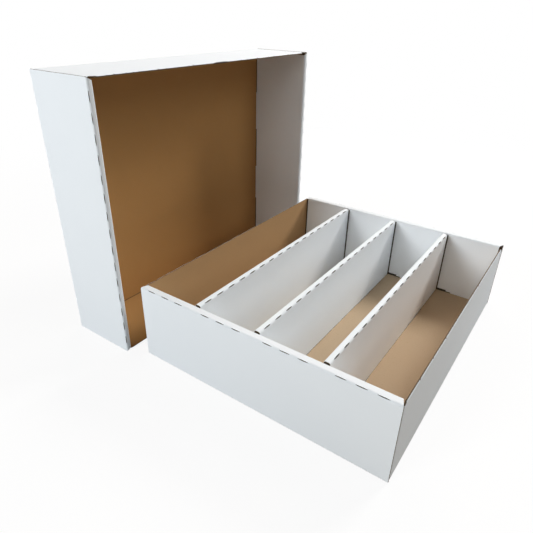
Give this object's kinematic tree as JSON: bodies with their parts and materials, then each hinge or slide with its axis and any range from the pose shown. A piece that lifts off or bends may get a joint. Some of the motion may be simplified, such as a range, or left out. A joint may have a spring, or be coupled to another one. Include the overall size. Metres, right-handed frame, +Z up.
{
  "type": "card storage box",
  "caption": "Card storage box folded from corrugated board: a tray with rows for cards between folded dividers, and a separate slip-over lid that stands open beside it.",
  "frame": {"origin": "middle of the underside of the tray's floor, on the surface that the box stands on", "axes": "+X across the rows, away from the lid; +Y along the rows, to the back; +Z up"},
  "size_m": [0.4235, 0.3922, 0.3144],
  "materials": {
    "white_board": "white coated liner, matte",
    "brown_board": "plain brown kraft liner, matte"
  },
  "bodies": {
    "tray": {"tray_floor": "brown_board", "tray_left_wall": "white_board", "tray_right_wall": "white_board", "tray_front_outer_panel": "white_board", "tray_front_rim": "white_board", "tray_front_inner_panel": "white_board", "tray_back_outer_panel": "white_board", "tray_back_rim": "white_board", "tray_back_inner_panel": "white_board", "tray_front_left_dust_flap": "brown_board", "tray_front_right_dust_flap": "brown_board", "tray_back_left_dust_flap": "brown_board", "tray_back_right_dust_flap": "brown_board"},
    "left_divider": {"left_divider_left_side": "white_board", "left_divider_top": "white_board", "left_divider_right_side": "white_board"},
    "middle_divider": {"middle_divider_left_side": "white_board", "middle_divider_top": "white_board", "middle_divider_right_side": "white_board"},
    "right_divider": {"right_divider_left_side": "white_board", "right_divider_top": "white_board", "right_divider_right_side": "white_board"},
    "lid": {"lid_panel": "brown_board", "lid_upper_wall": "white_board", "lid_lower_wall": "white_board", "lid_front_outer_panel": "white_board", "lid_front_rim": "white_board", "lid_front_inner_panel": "white_board", "lid_back_outer_panel": "white_board", "lid_back_rim": "white_board", "lid_back_inner_panel": "white_board", "lid_front_upper_dust_flap": "brown_board", "lid_front_lower_dust_flap": "brown_board", "lid_back_upper_dust_flap": "brown_board", "lid_back_lower_dust_flap": "brown_board"}
  },
  "joints": [
    {"name": "left_divider_lift", "type": "slide", "parent": "tray", "child": "left_divider", "axis": [0, 0, 1], "range_m": [0, 0.094]},
    {"name": "middle_divider_lift", "type": "slide", "parent": "tray", "child": "middle_divider", "axis": [0, 0, 1], "range_m": [0, 0.094]},
    {"name": "right_divider_lift", "type": "slide", "parent": "tray", "child": "right_divider", "axis": [0, 0, 1], "range_m": [0, 0.094]},
    {"name": "lid_pull", "type": "slide", "parent": "tray", "child": "lid", "axis": [-1, 0, 0], "range_m": [0, 0.092]}
  ]
}
